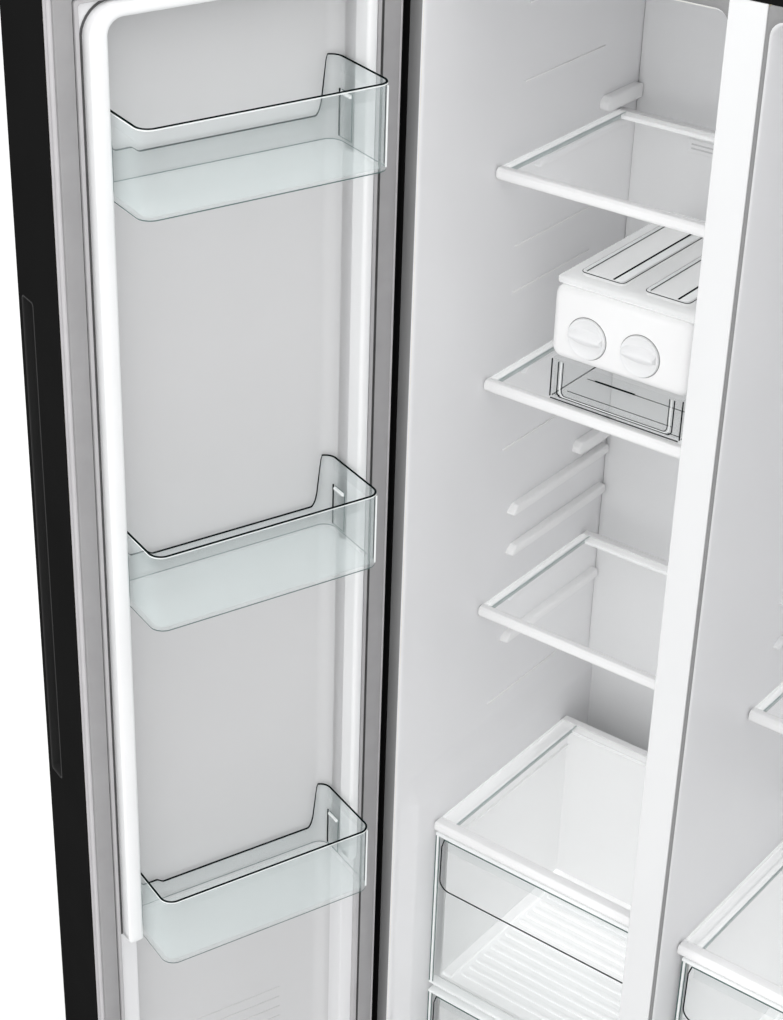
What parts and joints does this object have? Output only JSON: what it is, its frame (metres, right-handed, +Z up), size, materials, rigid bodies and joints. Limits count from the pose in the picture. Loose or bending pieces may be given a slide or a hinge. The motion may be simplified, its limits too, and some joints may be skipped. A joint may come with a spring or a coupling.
{
  "type": "side by side refrigerator",
  "caption": "Side by side refrigerator with freezer on the left, hinged doors with bins, glass shelves, sliding drawers and a twist ice maker.",
  "frame": {"origin": "on the floor under the middle of the whole object as it stands with both doors open", "axes": "+Z up, +Y towards the back of the cabinet, so the doors open towards -Y; +X to the right of someone facing the doors"},
  "size_m": [1.2858, 1.0554, 1.786],
  "materials": {
    "black_enamel_steel": "satin black enamel",
    "black_plastic": "fine matte texture",
    "galvanised_steel": "plain zinc coated",
    "white_plastic": "smooth white",
    "liner_plastic": "smooth pale grey-white",
    "clear_plastic": "clear, faint blue-green tint",
    "shelf_glass": "toughened glass with white plastic trims",
    "gasket_rubber": "soft grey",
    "insulation_foam": "closed-cell foam",
    "fin_aluminium": "bare fins",
    "compressor_shell": "black paint",
    "painted_tube": "black paint",
    "dark_plastic": "matte"
  },
  "bodies": {
    "cabinet": {"cabinet_shell": "black_enamel_steel", "back_panel": "galvanised_steel", "cabinet_foam": "insulation_foam", "freezer_liner": "liner_plastic", "fridge_liner": "liner_plastic", "mullion_cover": "white_plastic", "kick_plate": "black_plastic", "base_tray": "galvanised_steel", "compressor": "compressor_shell", "condenser": "painted_tube", "machine_cover": "galvanised_steel", "freezer_duct_panel": "liner_plastic", "evaporator": "fin_aluminium", "fridge_duct_panel": "liner_plastic", "freezer_shelf_1": "shelf_glass", "freezer_shelf_2": "shelf_glass", "freezer_shelf_3": "shelf_glass", "freezer_drawer_cover": "shelf_glass", "fridge_shelf_1": "shelf_glass", "fridge_shelf_2": "shelf_glass", "crisper_cover": "shelf_glass", "ice_maker_housing": "white_plastic", "ice_maker_lid": "clear_plastic", "top_hinge_left": "galvanised_steel", "top_hinge_right": "galvanised_steel", "hinge_cover_left": "black_plastic", "hinge_cover_right": "black_plastic", "bottom_hinge_left": "galvanised_steel", "bottom_hinge_right": "galvanised_steel", "front_foot_left": "dark_plastic", "front_foot_right": "dark_plastic"},
    "freezer_door": {"freezer_door_skin": "black_enamel_steel", "freezer_door_foam": "insulation_foam", "freezer_door_liner": "white_plastic", "freezer_door_grip": "dark_plastic", "freezer_door_gasket": "gasket_rubber", "freezer_door_bin_1": "clear_plastic", "freezer_door_bin_2": "clear_plastic", "freezer_door_bin_3": "clear_plastic"},
    "fridge_door": {"fridge_door_skin": "black_enamel_steel", "fridge_door_foam": "insulation_foam", "fridge_door_liner": "white_plastic", "fridge_door_grip": "dark_plastic", "fridge_door_gasket": "gasket_rubber", "fridge_door_bin_1": "clear_plastic", "fridge_door_bin_2": "clear_plastic", "fridge_door_bin_3": "clear_plastic"},
    "freezer_drawer_upper": {"freezer_drawer_upper": "white_plastic", "freezer_drawer_upper_front": "clear_plastic"},
    "freezer_drawer_lower": {"freezer_drawer_lower": "white_plastic", "freezer_drawer_lower_front": "clear_plastic"},
    "crisper_upper": {"crisper_upper": "clear_plastic"},
    "crisper_lower": {"crisper_lower": "clear_plastic"},
    "ice_bin": {"ice_bin": "clear_plastic"},
    "ice_tray_left": {"ice_tray_left": "white_plastic"},
    "ice_tray_right": {"ice_tray_right": "white_plastic"},
    "evaporator_fan": {"evaporator_fan": "dark_plastic"},
    "condenser_fan": {"condenser_fan": "dark_plastic"},
    "rear_roller_left": {"rear_roller_left": "dark_plastic"},
    "rear_roller_right": {"rear_roller_right": "dark_plastic"}
  },
  "joints": [
    {"name": "freezer_door_hinge", "type": "hinge", "parent": "cabinet", "child": "freezer_door", "pos_m": [-0.43736, -0.03127, 0.9], "axis": [0, 0, -1], "range_deg": [-110, 10]},
    {"name": "fridge_door_hinge", "type": "hinge", "parent": "cabinet", "child": "fridge_door", "pos_m": [0.44764, -0.03127, 0.9], "axis": [0, 0, 1], "range_deg": [-103, 17]},
    {"name": "freezer_drawer_upper_slide", "type": "slide", "parent": "cabinet", "child": "freezer_drawer_upper", "axis": [0, -1, 0], "range_m": [0, 0.22]},
    {"name": "freezer_drawer_lower_slide", "type": "slide", "parent": "cabinet", "child": "freezer_drawer_lower", "axis": [0, -1, 0], "range_m": [0, 0.16]},
    {"name": "crisper_upper_slide", "type": "slide", "parent": "cabinet", "child": "crisper_upper", "axis": [0, -1, 0], "range_m": [0, 0.22]},
    {"name": "crisper_lower_slide", "type": "slide", "parent": "cabinet", "child": "crisper_lower", "axis": [0, -1, 0], "range_m": [0, 0.16]},
    {"name": "ice_bin_slide", "type": "slide", "parent": "cabinet", "child": "ice_bin", "axis": [0, -1, 0], "range_m": [0, 0.15]},
    {"name": "ice_tray_left_twist", "type": "hinge", "parent": "cabinet", "child": "ice_tray_left", "pos_m": [-0.28366, 0.13753, 1.306], "axis": [0, 1, 0], "range_deg": [0, 150], "stiffness_Nm_per_rad": 0.05},
    {"name": "ice_tray_right_twist", "type": "hinge", "parent": "cabinet", "child": "ice_tray_right", "pos_m": [-0.21766, 0.13753, 1.306], "axis": [0, 1, 0], "range_deg": [0, 150], "stiffness_Nm_per_rad": 0.05},
    {"name": "evaporator_fan_spin", "type": "hinge", "parent": "cabinet", "child": "evaporator_fan", "pos_m": [-0.24506, 0.43923, 1.33], "axis": [0, 1, 0], "continuous": true},
    {"name": "condenser_fan_spin", "type": "hinge", "parent": "cabinet", "child": "condenser_fan", "pos_m": [0.06514, 0.40573, 0.125], "axis": [1, 0, 0], "continuous": true},
    {"name": "rear_roller_left_spin", "type": "hinge", "parent": "cabinet", "child": "rear_roller_left", "pos_m": [-0.37486, 0.48073, 0.0145], "axis": [1, 0, 0], "continuous": true},
    {"name": "rear_roller_right_spin", "type": "hinge", "parent": "cabinet", "child": "rear_roller_right", "pos_m": [0.38514, 0.48073, 0.0145], "axis": [1, 0, 0], "continuous": true}
  ]
}
